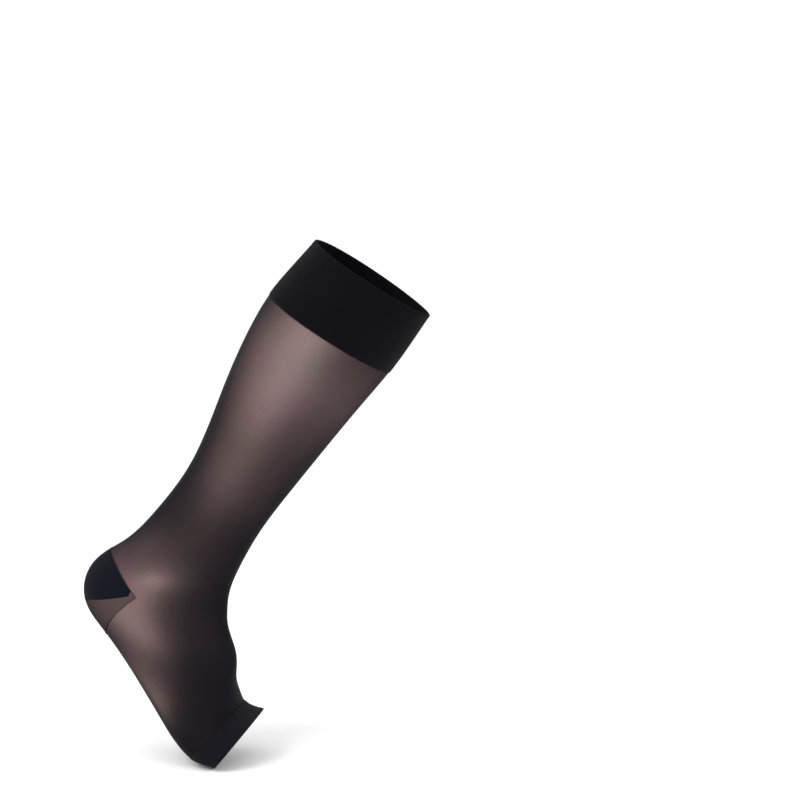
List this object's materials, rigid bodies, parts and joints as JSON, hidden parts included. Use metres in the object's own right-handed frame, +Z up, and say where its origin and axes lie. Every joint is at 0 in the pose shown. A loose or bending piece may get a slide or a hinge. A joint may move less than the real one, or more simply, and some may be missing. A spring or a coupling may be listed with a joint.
{
  "type": "compression stocking",
  "caption": "Knee-high sheer compression stocking with an opaque welt, knitted-in heel pocket and open toe cuff, in the hollow shape of a striding right leg.",
  "frame": {"origin": "centre of the top rim, where the wearer's leg comes out below the knee", "axes": "+Z up, +X the way the wearer walks, +Y towards the inner side of the leg; the leg leans 33.5 degrees forward from the vertical"},
  "size_m": [0.3152, 0.127, 0.4625],
  "materials": {
    "band_knit": "matt dense black knit",
    "sheer_knit": "sheer black knit, see-through where it is stretched",
    "heel_knit": "matt reinforced black knit",
    "heel_sheer_knit": "half-sheer black knit"
  },
  "bodies": {
    "root": {"top_band": "band_knit", "leg_and_foot": "sheer_knit", "heel_upper": "heel_knit", "heel_lower": "heel_sheer_knit", "toe_band": "band_knit"}
  },
  "joints": []
}
